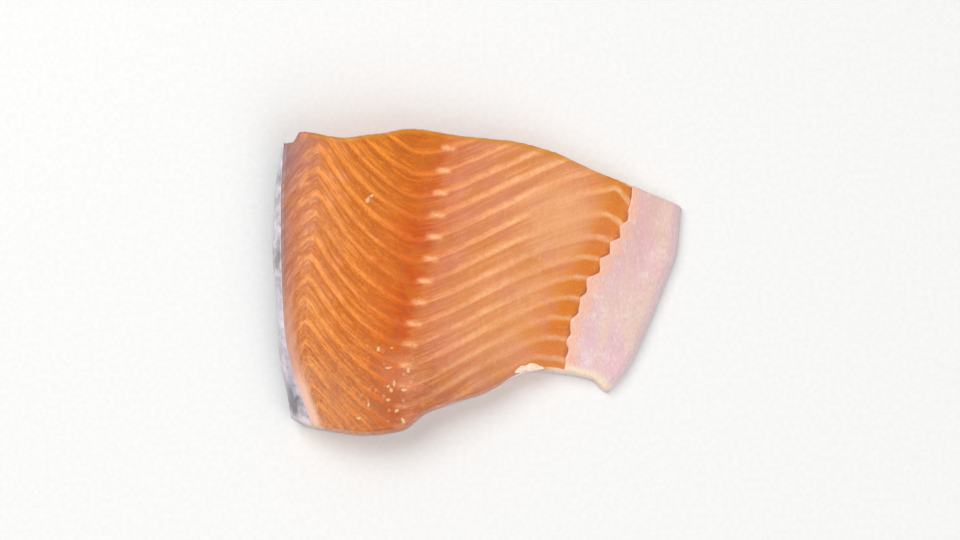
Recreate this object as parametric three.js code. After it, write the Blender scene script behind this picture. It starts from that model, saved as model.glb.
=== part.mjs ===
// A raw salmon fillet: a piece cut across the side of a fish, lying skin down.
//
// Frame, in millimetres, +Z up: X runs from the back of the fish (-) to its belly (+), Y from the tail (-) to
// the head (+), and the origin is the middle of the flat underside.
//
// Across the fillet a place is given by its station: 0 where the flesh meets the skin at the back, 1 at the
// bend of the muscle lines in the loin, 2 on the midline, 3 at the bend of the lines over the ribs, and 4 on
// the belly edge. Along the fillet a place is given by its muscle line, counted from the head.

import * as THREE from "three";

// Layers
const SKIN_THICKNESS = 1.2;
const LAYER_GAP = 0.3;
const LINING_THICKNESS = 0.9;
const LINING_EDGE_THICKNESS = 0.5;

// Lines that run from the tail cut to the head cut, as [y, x]
const BACK_LINE = [[-66, -89], [-54, -91], [-35, -95], [-9, -96.7], [18, -98.7], [45, -97.6], [68, -94.3]];
const FLESH_EDGE = [[-70, -77.5], [-54, -83.5], [-42, -87.5], [-22, -91.3], [15, -93], [40, -93.4], [68, -92.4]];
const LOIN_BEND = [[-71, -70.8], [-52, -77.5], [-25, -81], [0, -79.9], [32, -76.2], [67, -75.1]];
const MIDLINE = [[-73, -39], [-41, -37.2], [-20, -34.6], [10, -29.5], [50, -27.6], [72, -24.2]];
const RIB_BEND = [[-45, 23], [-27, 32], [0, 44], [22, 54.5], [48, 67], [60, 72]];
const BELLY_EDGE = [[-52, 62.6], [-41, 72.3], [-17, 83.8], [0, 90.5], [17, 96.7], [38, 98.7]];
const LINING_LINE = [
  [-45, 41], [-35, 42.4], [-25, 44.2], [-12, 48.6], [-2, 52.4], [8, 59.4], [21.5, 67.4], [34, 73.2], [47, 74.5],
];

// The two cuts across the fish, as [x, y]
const HEAD_CUT = [
  [-99, 62], [-94.3, 66.8], [-88.6, 67.2], [-85, 71.8], [-64, 68.6], [-48, 70.6], [-30, 73.3],
  [-11, 70.5], [18, 67.4], [37, 62.6], [57, 54], [76, 47], [90, 41.8], [99, 38],
];
const TAIL_CUT = [
  [-92, -62], [-86, -66.3], [-78, -69.5], [-52, -72.9], [-36, -70.7], [-25, -62.7], [-11, -57.4],
  [4, -52.4], [16, -45.8], [27, -42.4], [42, -43.8], [55, -46.8], [62, -52.3], [66, -50],
];

// Thickness of the fillet under each station, and how much of it is left towards the tail
const HEIGHT_AT_STATION = [
  [0, 19.5], [0.25, 22.6], [0.6, 25.2], [1, 26.8], [1.35, 27.7], [1.7, 26.2], [2, 24.2], [2.25, 23.6],
  [2.5, 21], [2.75, 17.2], [3, 13.4], [3.3, 10.2], [3.7, 7.8], [3.93, 6.2], [4, 4.6],
];
const TAPER_ALONG = [[-72, 0.86], [-50, 0.94], [-20, 0.99], [20, 1]];
const CUT_LIP = 1.6;
const CUT_LIP_DROP = 0.08;
const CUT_BULGE = 0.5;
const CUT_BULGE_HEIGHT = 12;

// How far the skin runs on past the flesh at the tail cut of the belly flap, as [x, distance]
const FLAP_SETBACK = [[-20, 0], [8, 0], [20, 1.1], [60, 1.1], [64, 0.7]];

// The skin's wall along the back, in section
const WALL_BULGE_HEIGHT = 9;
const WALL_FOOT = 9;
const WALL_TOP_ANGLE = THREE.MathUtils.degToRad(62);
const WALL_LIP_OUT = 1;
const WALL_LIP_UP = 1.2;
const BELLY_WALL_LEAN = 1.2;

// Muscle lines: where the lines cross the midline, and how far each climbs towards the head beside it
const FIRST_LINE_Y = 59.4;
const LINE_PITCH = 10.67;
const PITCH_SHRINK = 0.047;
const LINE_RANGE = [-9, 20];
const LOIN_RISE = 47.7;
const LOIN_RISE_SHRINK = 0.45;
const LOIN_CURVE = [0.42, 0.37, 0.21];
const BACK_EDGE_FALL = 17;
const RIB_RISE = 35.1;
const RIB_RISE_HEAD = 3.5;
const RIB_RISE_LINES = [4, 7];
const RIB_START = 0.5;
const RIB_START_SHRINK = 0.033;
const RIB_SWEEP = 2.05;
const RIB_MARK_SPAN = 0.36;
const RIB_DROP_HEAD = 8;
const RIB_DROP_TAIL = 1.2;
const RIB_DROP_LINES = [4.6, 8.3];

// Relief of the muscle blocks between the lines, as [share of the block, height]
const BLOCK_RELIEF = [[0, -0.55], [0.08, -0.05], [0.3, 0.25], [0.7, 0.25], [0.92, -0.05]];
const RELIEF_FADE = [[0, 0], [0.5, 1], [3.04, 1.2], [3.17, 0], [4, 0]];
const LEAST_STEP = 0.6;

// Mesh stations and rows
const FLESH_STATIONS = [
  0, 0.12, 0.3, 0.52, 0.76, ...evenly(1, 2, 15), ...evenly(2, 3, 18), ...evenly(3, 3.36, 4),
  ...evenly(3.36, 3.96, 4), 3.96, 4,
];
const WALL_STEPS = 4;
const FOOT_STEPS = 3;
const FLAT_STEPS = 24;
const SKIN_ROWS = 16;
const LINING_COLUMNS = 8;
const LINING_ROWS = 70;
const LINING_BELLY_STATION = 3.93;
const LINING_CUT_MARGIN = 0.8;
const LINING_HOLD = 0.85;
const LINING_STEP_SPAN = [0.86, 1];

const FLESH = new THREE.MeshStandardMaterial({ color: 0xdd8347, roughness: 0.35, metalness: 0 });
const SKIN = new THREE.MeshStandardMaterial({ color: 0xb9a3a4, roughness: 0.3, metalness: 0 });
const LINING = new THREE.MeshStandardMaterial({ color: 0xe8c6c3, roughness: 0.35, metalness: 0 });

// Numbers from first up to, but not including, last
function evenly(first, last, steps) {
  return Array.from({ length: steps }, (_, i) => first + ((last - first) * i) / steps);
}

// A smooth curve through knots that never swings past them, and runs on straight beyond both ends
function smooth(knots) {
  const steps = knots.slice(1).map(([x, y], i) => (y - knots[i][1]) / (x - knots[i][0]));
  const slopes = knots.map((_, i) => {
    if (i === 0) return steps[0];
    if (i === steps.length) return steps[i - 1];
    const [before, after] = [steps[i - 1], steps[i]];
    return before * after > 0 ? (2 * before * after) / (before + after) : 0;
  });
  return (x) => {
    const last = knots.length - 1;
    if (x <= knots[0][0]) return knots[0][1] + slopes[0] * (x - knots[0][0]);
    if (x >= knots[last][0]) return knots[last][1] + slopes[last] * (x - knots[last][0]);
    const i = knots.findIndex((knot) => knot[0] > x) - 1;
    const width = knots[i + 1][0] - knots[i][0];
    const t = (x - knots[i][0]) / width;
    const bend = t * t * (3 - 2 * t);
    const leave = t * (1 - t) * (1 - t) * slopes[i];
    const arrive = t * t * (1 - t) * slopes[i + 1];
    return THREE.MathUtils.lerp(knots[i][1], knots[i + 1][1], bend) + width * (leave - arrive);
  };
}

const backLine = smooth(BACK_LINE);
const fleshEdge = smooth(FLESH_EDGE);
const bellyEdge = smooth(BELLY_EDGE);
const liningLine = smooth(LINING_LINE);
const headCut = smooth(HEAD_CUT);
const tailCut = smooth(TAIL_CUT);
const heightAtStation = smooth(HEIGHT_AT_STATION);
const reliefFade = smooth(RELIEF_FADE);
const flapSetback = smooth(FLAP_SETBACK);
const fleshTailCut = (x) => tailCut(x) + Math.max(flapSetback(x), 0);
const taper = smooth(TAPER_ALONG);
const taperAlong = (y) => Math.min(taper(y), 1);

// The end of a line across both cuts: follow x(y) until it meets the cut
function meetCut(cut, xAt, start) {
  let y = start;
  for (let i = 0; i < 60; i++) y = (y + cut(xAt(y))) / 2;
  return y;
}

// The skin's outer face in section at y, and the direction into the fish. Turn runs from 0 at the lip on
// top, past 1 where the back is widest, to 2 where the skin lies flat, then to 3 at the belly edge.
function skinSection(turn, y) {
  const back = backLine(y);
  if (turn >= 2) {
    return { x: THREE.MathUtils.lerp(back + WALL_FOOT, bellyEdge(y), turn - 2), z: 0, inX: 0, inZ: 1 };
  }
  if (turn >= 1) {
    const angle = ((turn - 1) * Math.PI) / 2;
    const x = back + WALL_FOOT * (1 - Math.cos(angle));
    return { x, z: WALL_BULGE_HEIGHT * (1 - Math.sin(angle)), inX: Math.cos(angle), inZ: Math.sin(angle) };
  }
  const lipX = fleshEdge(y) - WALL_LIP_OUT;
  const lipZ = heightAtStation(0) * taperAlong(y) + WALL_LIP_UP;
  const wide = (lipX - back) / (1 - Math.cos(WALL_TOP_ANGLE));
  const tall = (lipZ - WALL_BULGE_HEIGHT) / Math.sin(WALL_TOP_ANGLE);
  const angle = (1 - turn) * WALL_TOP_ANGLE;
  const inward = new THREE.Vector2(Math.cos(angle) / wide, -Math.sin(angle) / tall).normalize();
  const x = back + wide * (1 - Math.cos(angle));
  return { x, z: WALL_BULGE_HEIGHT + tall * Math.sin(angle), inX: inward.x, inZ: inward.y };
}

// A point at a depth below the skin's outer face
function underSkin(turn, y, depth) {
  const place = skinSection(turn, y);
  return { x: place.x + depth * place.inX, z: place.z + depth * place.inZ };
}

const fleshDepth = SKIN_THICKNESS + LAYER_GAP;
const stationLines = [
  (y) => underSkin(0, y, fleshDepth).x,
  smooth(LOIN_BEND),
  smooth(MIDLINE),
  smooth(RIB_BEND),
  (y) => bellyEdge(y) - LAYER_GAP - BELLY_WALL_LEAN,
];

function stationX(station, y) {
  const i = Math.min(Math.floor(station), stationLines.length - 2);
  return THREE.MathUtils.lerp(stationLines[i](y), stationLines[i + 1](y), station - i);
}

function stationAt(x, y) {
  const lines = stationLines.map((line) => line(y));
  const i = THREE.MathUtils.clamp(lines.findIndex((line) => line > x) - 1, 0, lines.length - 2);
  return i + (x - lines[i]) / (lines[i + 1] - lines[i]);
}

// How far a muscle line has climbed towards the head at a station
function lineRise(station, line) {
  const loinRise = LOIN_RISE - LOIN_RISE_SHRINK * line;
  if (station < 1) {
    const t = 1 - station;
    return loinRise - BACK_EDGE_FALL * (0.5 * t + 0.5 * t * t);
  }
  if (station < 2) {
    const t = 2 - station;
    return loinRise * LOIN_CURVE.reduce((rise, share, i) => rise + share * t ** (i + 1), 0);
  }
  const t = Math.min(station - 2, 1);
  const headward = 1 - THREE.MathUtils.smoothstep(line, ...RIB_RISE_LINES);
  const start = RIB_START - RIB_START_SHRINK * line;
  const curve = start * t + RIB_SWEEP * t * t + (1 - start - RIB_SWEEP) * t * t * t;
  const climb = (RIB_RISE + RIB_RISE_HEAD * headward) * curve;
  const past = THREE.MathUtils.clamp((station - 3) / RIB_MARK_SPAN, 0, 1) ** 1.5;
  const tailward = THREE.MathUtils.smoothstep(line, ...RIB_DROP_LINES);
  return climb - past * THREE.MathUtils.lerp(RIB_DROP_HEAD, RIB_DROP_TAIL, tailward);
}

function lineY(station, line) {
  return FIRST_LINE_Y - LINE_PITCH * line + PITCH_SHRINK * line * line + lineRise(station, line);
}

// The muscle line, with its fraction, that passes through a place
function lineAt(station, y) {
  let [low, high] = LINE_RANGE;
  for (let i = 0; i < 40; i++) {
    const middle = (low + high) / 2;
    if (lineY(station, middle) > y) low = middle;
    else high = middle;
  }
  return (low + high) / 2;
}

// Relief of the muscle blocks by the share of the block that has passed
function blockRelief(line) {
  const share = line - Math.floor(line);
  const knots = [...BLOCK_RELIEF, [1, BLOCK_RELIEF[0][1]]];
  const i = knots.findIndex((knot) => knot[0] > share) - 1;
  const t = (share - knots[i][0]) / (knots[i + 1][0] - knots[i][0]);
  return THREE.MathUtils.lerp(knots[i][1], knots[i + 1][1], t);
}

// Height of the flesh without its relief
function bareHeight(station, y) {
  if (station === 0) return underSkin(0, y, fleshDepth).z;
  return heightAtStation(station) * taperAlong(y);
}

// A closed body put together from rows of corners
class Body {
  constructor() {
    this.positions = [];
    this.triangles = [];
  }

  corner(x, y, z, key) {
    this.positions.push(x, y, z);
    return { id: this.positions.length / 3 - 1, x, y, z, key };
  }

  triangle(a, b, c) {
    if (a.id !== b.id && b.id !== c.id && c.id !== a.id) this.triangles.push(a.id, b.id, c.id);
  }

  // Fills the strip between two rows, taking next the corner that comes first by its key
  zip(left, right, key = (corner) => corner.key) {
    let [i, j] = [0, 0];
    while (i < left.length - 1 || j < right.length - 1) {
      const leftNext = i < left.length - 1 ? key(left[i + 1]) : Infinity;
      const rightNext = j < right.length - 1 ? key(right[j + 1]) : Infinity;
      if (leftNext < rightNext) {
        this.triangle(left[i], right[j], left[i + 1]);
        i++;
      } else {
        this.triangle(left[i], right[j], right[j + 1]);
        j++;
      }
    }
  }

  mesh(name, material) {
    const geometry = new THREE.BufferGeometry();
    geometry.setAttribute("position", new THREE.Float32BufferAttribute(this.positions, 3));
    geometry.setIndex(this.triangles);
    geometry.computeVertexNormals();
    const mesh = new THREE.Mesh(geometry, material);
    mesh.name = name;
    return mesh;
  }
}

const byX = (corner) => corner.x;
const byKey = (corner) => corner.key;

// One column of the flesh's top, from the tail cut to the head cut, with a rounded lip at both cuts and a
// corner wherever the relief has one
function fleshColumn(body, station) {
  const xAt = (y) => stationX(station, y);
  const tail = meetCut(fleshTailCut, xAt, -60);
  const head = meetCut(headCut, xAt, 60);
  const drop = 1 - CUT_LIP_DROP;
  const put = (y, line, lift = 1) => {
    const relief = blockRelief(line) * reliefFade(station);
    return body.corner(xAt(y), y, (bareHeight(station, y) + relief) * lift, -line);
  };
  const [low, high] = [tail + CUT_LIP, head - CUT_LIP];
  const inner = [put(low, lineAt(station, low))];
  for (let whole = LINE_RANGE[1]; whole >= LINE_RANGE[0]; whole--) {
    for (const [share] of [...BLOCK_RELIEF].reverse()) {
      const y = lineY(station, whole + share);
      if (y > low + LEAST_STEP && y < high - LEAST_STEP) inner.push(put(y, whole + share));
    }
  }
  inner.push(put(high, lineAt(station, high)));
  return {
    tail: put(tail, lineAt(station, tail), drop),
    inner,
    head: put(head, lineAt(station, head), drop),
  };
}

// Columns below a skin depth: turns past the lip and short of the belly edge
function skinTurns(first) {
  return [
    ...evenly(0, 1, WALL_STEPS).slice(first),
    ...evenly(1, 2, FOOT_STEPS),
    ...evenly(2, 3, FLAT_STEPS),
    3,
  ];
}

function skinColumn(body, turn, depth) {
  const xAt = (y) => underSkin(turn, y, depth).x;
  const inFlesh = depth > SKIN_THICKNESS;
  const tail = meetCut(inFlesh ? fleshTailCut : tailCut, xAt, -60);
  const head = meetCut(headCut, xAt, 60);
  return [...evenly(0, 1, SKIN_ROWS), 1].map((row) => {
    const y = THREE.MathUtils.lerp(tail, head, row);
    const short = turn === 3 && inFlesh ? LAYER_GAP : 0;
    return body.corner(xAt(y) - short, y, underSkin(turn, y, depth).z, row);
  });
}

function makeFlesh() {
  const body = new Body();
  const columns = FLESH_STATIONS.map((station) => fleshColumn(body, station));
  for (let i = 1; i < columns.length; i++) {
    const [left, right] = [columns[i - 1], columns[i]];
    body.zip([left.tail, left.inner[0]], [right.tail, right.inner[0]], byKey);
    body.zip(left.inner, right.inner, byKey);
    body.zip([left.inner.at(-1), left.head], [right.inner.at(-1), right.head], byKey);
  }
  const wholeColumn = ({ tail, inner, head }) => [tail, ...inner, head];
  const under = [
    wholeColumn(columns[0]),
    ...skinTurns(1).map((turn) => skinColumn(body, turn, fleshDepth)),
    wholeColumn(columns.at(-1)),
  ];
  for (let i = 1; i < under.length; i++) {
    body.zip(under[i], under[i - 1], (corner) => corner.y);
  }
  closeCut(body, columns.map((column) => column.tail), under.map((column) => column[0]), true);
  closeCut(body, columns.map((column) => column.head), under.map((column) => column.at(-1)), false);
  return body.mesh("flesh", FLESH);
}

// A cut face between the row of corners on top and the row below, swelling a little halfway down
function closeCut(body, top, bottom, tailward) {
  const outward = tailward ? -1 : 1;
  const middle = top.map((corner, i) => {
    if (i === 0 || i === top.length - 1) return corner;
    const bulge = CUT_BULGE * Math.min(corner.z / CUT_BULGE_HEIGHT, 1);
    return body.corner(corner.x, corner.y + outward * bulge, (corner.z + fleshDepth) / 2);
  });
  let reached = -Infinity;
  const keys = new Map();
  for (const corner of bottom) {
    reached = Math.max(reached, byX(corner));
    keys.set(corner.id, reached);
  }
  const key = (corner) => keys.get(corner.id) ?? byX(corner);
  for (const [above, below] of [[top, middle], [middle, bottom]]) {
    if (tailward) body.zip(above, below, key);
    else body.zip(below, above, key);
  }
}

// A thin sheet between an upper and a lower grid of columns that have the same rows
function closeSheet(body, upper, lower) {
  for (let i = 1; i < upper.length; i++) {
    body.zip(upper[i - 1], upper[i], byKey);
    body.zip(lower[i], lower[i - 1], byKey);
  }
  body.zip(lower[0], upper[0], byKey);
  body.zip(upper.at(-1), lower.at(-1), byKey);
  const across = (columns, row) => columns.map((column, key) => ({ ...column.at(row), key }));
  body.zip(across(upper, 0), across(lower, 0), byKey);
  body.zip(across(lower, -1), across(upper, -1), byKey);
}

function makeSkin() {
  const body = new Body();
  const turns = skinTurns(0);
  const inner = turns.map((turn) => skinColumn(body, turn, SKIN_THICKNESS));
  const outer = turns.map((turn) => skinColumn(body, turn, 0));
  closeSheet(body, inner, outer);
  return body.mesh("skin", SKIN);
}

// The lining's edge towards the ribs: it runs nearly straight along each muscle block and steps at the lines
function liningStart(y) {
  const line = lineAt(stationAt(liningLine(y), y), y);
  const share = line - Math.floor(line);
  const perBlock = liningLine(y + LINE_PITCH / 2) - liningLine(y - LINE_PITCH / 2);
  const tooth = share - 0.5 - THREE.MathUtils.smoothstep(share, ...LINING_STEP_SPAN);
  return liningLine(y) + LINING_HOLD * perBlock * tooth;
}

// The thin lining of the belly, lying on the flesh
function makeLining() {
  const body = new Body();
  const columns = [...evenly(0, 1, LINING_COLUMNS), 1].map((across) => {
    const smoothX = (y) => THREE.MathUtils.lerp(liningLine(y), stationX(LINING_BELLY_STATION, y), across);
    const tail = meetCut(fleshTailCut, smoothX, -60) + LINING_CUT_MARGIN;
    const head = meetCut(headCut, smoothX, 60) - LINING_CUT_MARGIN;
    const atEdge = across === 0 || across === 1;
    return [...evenly(0, 1, LINING_ROWS), 1].map((row) => {
      const y = THREE.MathUtils.lerp(tail, head, row);
      const x = THREE.MathUtils.lerp(liningStart(y), stationX(LINING_BELLY_STATION, y), across);
      const under = bareHeight(stationAt(x, y), y) + LAYER_GAP;
      const thin = atEdge || row === 0 || row === 1;
      return { x, y, under, over: under + (thin ? LINING_EDGE_THICKNESS : LINING_THICKNESS), row };
    });
  });
  const upper = columns.map((column) => column.map(({ x, y, over, row }) => body.corner(x, y, over, row)));
  const lower = columns.map((column) => column.map(({ x, y, under, row }) => body.corner(x, y, under, row)));
  closeSheet(body, upper, lower);
  return body.mesh("belly_lining", LINING);
}

export const salmonFillet = new THREE.Group();
salmonFillet.add(makeFlesh(), makeSkin(), makeLining());

export default salmonFillet;
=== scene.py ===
"""A raw salmon fillet lying skin down on a pale studio floor.

Sizes are in millimetres unless they say otherwise. Across the fillet a place is given by its station: 0
where the flesh meets the skin at the back, 1 at the bend of the muscle lines in the loin, 2 on the midline,
3 at the bend of the lines over the ribs, and 4 on the belly edge. Along the fillet a place is given by its
muscle line, counted from the head. +X is towards the belly, +Y towards the head.
"""

import math

import bpy
import numpy as np
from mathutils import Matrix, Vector


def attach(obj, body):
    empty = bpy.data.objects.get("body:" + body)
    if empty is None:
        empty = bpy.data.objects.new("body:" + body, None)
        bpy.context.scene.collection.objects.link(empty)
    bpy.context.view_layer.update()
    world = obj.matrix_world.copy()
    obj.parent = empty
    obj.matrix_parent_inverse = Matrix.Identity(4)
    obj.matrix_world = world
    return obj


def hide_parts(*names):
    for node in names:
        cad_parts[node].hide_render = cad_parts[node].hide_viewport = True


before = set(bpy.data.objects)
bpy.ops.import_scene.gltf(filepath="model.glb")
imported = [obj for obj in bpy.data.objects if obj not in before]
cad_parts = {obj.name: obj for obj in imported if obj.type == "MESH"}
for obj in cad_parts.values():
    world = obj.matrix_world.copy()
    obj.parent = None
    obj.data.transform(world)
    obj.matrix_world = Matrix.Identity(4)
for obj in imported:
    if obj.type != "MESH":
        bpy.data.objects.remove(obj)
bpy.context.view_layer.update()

MM = 0.001


def smooth(knots):
    """A smooth curve through knots that never swings past them, and runs on straight beyond both ends."""
    x, y = np.array(knots, float).T
    steps = np.diff(y) / np.diff(x)
    before, after = steps[:-1], steps[1:]
    same = before * after > 0
    inner = np.where(same, 2 * before * after / np.where(same, before + after, 1), 0)
    slopes = np.concatenate([steps[:1], inner, steps[-1:]])

    def curve(at):
        at = np.asarray(at, float)
        i = np.clip(np.searchsorted(x, at, side="right") - 1, 0, len(x) - 2)
        width = x[i + 1] - x[i]
        t = np.clip((at - x[i]) / width, 0, 1)
        bend = t * t * (3 - 2 * t)
        leave = t * (1 - t) ** 2 * slopes[i]
        arrive = t * t * (1 - t) * slopes[i + 1]
        inside = y[i] + (y[i + 1] - y[i]) * bend + width * (leave - arrive)
        return inside + slopes[0] * np.minimum(at - x[0], 0) + slopes[-1] * np.maximum(at - x[-1], 0)

    return curve


# Lines that run from the tail cut to the head cut, as [y, x]
back_line = smooth([[-66, -89], [-54, -91], [-35, -95], [-9, -96.7], [18, -98.7], [45, -97.6], [68, -94.3]])
flesh_edge = smooth([
    [-70, -77.5], [-54, -83.5], [-42, -87.5], [-22, -91.3], [15, -93], [40, -93.4], [68, -92.4],
])
loin_bend = smooth([[-71, -70.8], [-52, -77.5], [-25, -81], [0, -79.9], [32, -76.2], [67, -75.1]])
midline = smooth([[-73, -39], [-41, -37.2], [-20, -34.6], [10, -29.5], [50, -27.6], [72, -24.2]])
rib_bend = smooth([[-45, 23], [-27, 32], [0, 44], [22, 54.5], [48, 67], [60, 72]])
belly_edge = smooth([[-52, 62.6], [-41, 72.3], [-17, 83.8], [0, 90.5], [17, 96.7], [38, 98.7]])
lining_line = smooth([
    [-45, 41], [-35, 42.4], [-25, 44.2], [-12, 48.6], [-2, 52.4], [8, 59.4], [21.5, 67.4], [34, 73.2],
    [47, 74.5],
])

# The two cuts across the fish, as [x, y], and how far the belly flap is set back from the tail cut
head_cut = smooth([
    [-99, 62], [-94.3, 66.8], [-88.6, 67.2], [-85, 71.8], [-64, 68.6], [-48, 70.6], [-30, 73.3],
    [-11, 70.5], [18, 67.4], [37, 62.6], [57, 54], [76, 47], [90, 41.8], [99, 38],
])
tail_cut = smooth([
    [-92, -62], [-86, -66.3], [-78, -69.5], [-52, -72.9], [-36, -70.7], [-25, -62.7], [-11, -57.4],
    [4, -52.4], [16, -45.8], [27, -42.4], [42, -43.8], [55, -46.8], [62, -52.3], [66, -50],
])
flap_setback = smooth([[-20, 0], [8, 0], [20, 1.1], [60, 1.1], [64, 0.7]])
CUT_SEARCH_Y = 60.0

# How far the knife's edge wanders inward, with finer wandering as (how many times finer, its share)
CUT_WANDER = 0.55
CUT_WANDER_SPAN = 6
CUT_WANDER_FINER = (3.2, 0.6)
SKIN_WANDER_SHARE = 0.5

# Thickness of the whole, and the lips, swelling and relief of the cut faces
height_at_station = smooth([
    [0, 19.5], [0.25, 22.6], [0.6, 25.2], [1, 26.8], [1.35, 27.7], [1.7, 26.2], [2, 24.2], [2.25, 23.6],
    [2.5, 21], [2.75, 17.2], [3, 13.4], [3.3, 10.2], [3.7, 7.8], [3.93, 6.2], [4, 4.6],
])
taper = smooth([[-72, 0.86], [-50, 0.94], [-20, 0.99], [20, 1]])
SEAM_BLEND = 0.12
CUT_LIP = 1.6
CUT_LIP_DROP = 0.08
CUT_BULGE = 0.4
CUT_BULGE_HEIGHT = 12
CUT_RELIEF_SHARE = 0.8
CUT_RELIEF_STATIONS = (0.1, 0.9)

# The skin's thickness at its turns, and its wall along the back in section
skin_depth = smooth([[0, 0.6], [0.3, 1.1], [0.6, 1.2], [3, 1.2]])
WALL_BULGE_HEIGHT = 9
WALL_FOOT = 9
WALL_TOP_ANGLE = math.radians(62)
WALL_LIP_OUT = 1
WALL_LIP_UP = 1.2
BELLY_WALL_LEAN = 1.2
BELLY_WALL_SHORT = 0.6

# Muscle lines
FIRST_LINE_Y = 59.4
LINE_PITCH = 10.67
PITCH_SHRINK = 0.047
LINE_RANGE = (-9, 20)
LOIN_RISE = 47.7
LOIN_RISE_SHRINK = 0.45
LOIN_CURVE = (0.42, 0.37, 0.21)
BACK_EDGE_FALL = 17
RIB_RISE = 35.1
RIB_RISE_HEAD = 3.5
RIB_RISE_LINES = (4, 7)
RIB_START = 0.5
RIB_START_SHRINK = 0.033
RIB_SWEEP = 2.05
RIB_MARK_SPAN = 0.36
RIB_DROP_HEAD = 8
RIB_DROP_TAIL = 1.2
RIB_DROP_LINES = (4.6, 8.3)

# How far from a bend, in stations, the lines are rounded: at the loin bend, at the midline and on the belly
BEND_ROUNDING = [[1.3, 0.09], [1.8, 0.17], [2.2, 0.17], [2.6, 0.04]]
BEND_TAPS = [(-1, 1 / 16), (-0.5, 4 / 16), (0, 6 / 16), (0.5, 4 / 16), (1, 1 / 16)]

# Relief of the muscle blocks by the share of the block that has passed, and the rows that carry it
block_relief = smooth([
    [0, -0.26], [0.03, -0.16], [0.1, -0.04], [0.3, 0.1], [0.6, 0.16], [0.86, 0.06], [0.96, -0.12],
    [1, -0.26],
])
ROW_SHARES = [0, 0.02, 0.05, 0.09, 0.15, 0.22, 0.3, 0.39, 0.48, 0.57, 0.66, 0.75, 0.83, 0.9, 0.95, 0.98]
relief_fade = smooth([
    [0, 0], [0.35, 0.6], [1, 0.8], [2.2, 0.8], [2.7, 0.6], [3.04, 0.7], [3.17, 0.4], [3.3, 0], [4, 0],
])

# How clearly the muscle lines show at each station, how much clearer the first ones are past the loin, and
# how much less clear the last ones
line_clear = smooth([
    [0, 0.3], [0.35, 0.42], [0.7, 0.9], [1, 1.15], [1.3, 0.98], [1.6, 1], [1.8, 0.75], [2, 0.68],
    [2.15, 0.72], [2.5, 0.82], [2.7, 0.5], [2.9, 0.42], [3.05, 0.58], [3.2, 0.55], [3.4, 0.45],
])
HEAD_CLEAR = 0.45
HEAD_CLEAR_LINES = (2.5, 7)
HEAD_CLEAR_STATIONS = (1.7, 2.3)
TAIL_UNCLEAR = 0.38
TAIL_UNCLEAR_LINES = (7, 13)
TAIL_UNCLEAR_STATIONS = (2.0, 2.15)

# Slow waves of the top, with finer ones as (how many times finer, their share)
UNDULATION = 0.28
UNDULATION_SPAN = 14
UNDULATION_FINER = (2.7, 0.5)
UNDULATION_SINK = 0.6
UNDULATION_START = 0.3

# Pale marks beside the midline where the pin bones were drawn, one on each muscle line
pin_bone_station = smooth([[-70, 2.04], [0, 2.085], [30, 2.11], [66, 2.12]])
PIN_BONE_LINES = range(0, 14)
PIN_BONE_MEAN = 2.06
PIN_MARK_LENGTH = 3.5
PIN_MARK_WIDTH = 1.25
PIN_MARK_SLANT = 0.12
PIN_MARK_LIFT = 0.2

# Muscle blocks are nested cones: how many lines the cut face gains and then loses with its depth
CONE_RISE = 2.2
CONE_FALL = 3.8

# Cells of the noise before it repeats, steps of the searches, and the step that slopes are taken over
NOISE_CELLS = 64
MEET_STEPS = 24
SEARCH_STEPS = 20
SLOPE_STEP = 0.01

# The furthest from the lining's edge that corners are told apart, and the values of corners off the top
BARE_RANGE = 20.0
OFF_TOP = {"pin": 0.0, "rim": 99.0, "clear": 1.0, "bare": BARE_RANGE}

# Mesh of the flesh
STATION_STEPS = [(0, 1, 24), (1, 2, 84), (2, 3, 126), (3, 4, 72)]
CUT_FACE_SHARES = [0.05, 0.12, 0.2, 0.3, 0.4, 0.5, 0.6, 0.7, 0.8, 0.88, 0.95]
LIP_ANGLES = np.radians([90, 68, 46, 24])
LEAST_STEP = 0.25
FAN_STATION = 0.62
WALL_STEPS = 12
FOOT_STEPS = 8
FLAT_STEPS = 60
UNDER_ROWS = 40

# Scales
SCALE_LENGTH = 4.6
SCALE_WIDTH = 3.4
SCALE_ARCH = 0.35
SCALE_STEPS = 6
SCALE_ROWS = 31
SCALE_RELIEF = 0.14
SCALE_FREE_EDGE = 0.12
SKIN_COLUMN_STEP = 0.85
SECTION_STEPS = 1200

# The belly lining: a thin sheet that wraps the belly edge
LINING_THICKNESS = 0.9
LINING_EDGE_THICKNESS = 0.35
LINING_SINK = 0.1
LINING_COLUMNS = 64
LINING_ROWS = 190
LINING_WRAP_STEPS = 8
LINING_WRAP_FOOT = 1.25
LINING_WRAP_OUT = 1.95
LINING_WRAP_UNDER = 0.6
LINING_WRAP_ACROSS = 0.1
LINING_BELLY_STATION = 3.985
LINING_CUT_MARGIN = 0.12
LINING_HOLD = 0.75
LINING_STEP_SPAN = (0.62, 1)
LINING_WAVER = 0.7
LINING_WAVER_SPAN = 3.2
LINING_ROUND = 0.05

# Folds of the lining, as (height, how much of y counts, span, seed)
LINING_FOLDS = [(0.2, 0.3, 4.2, 29), (0.12, 1, 8.0, 31)]

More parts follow.
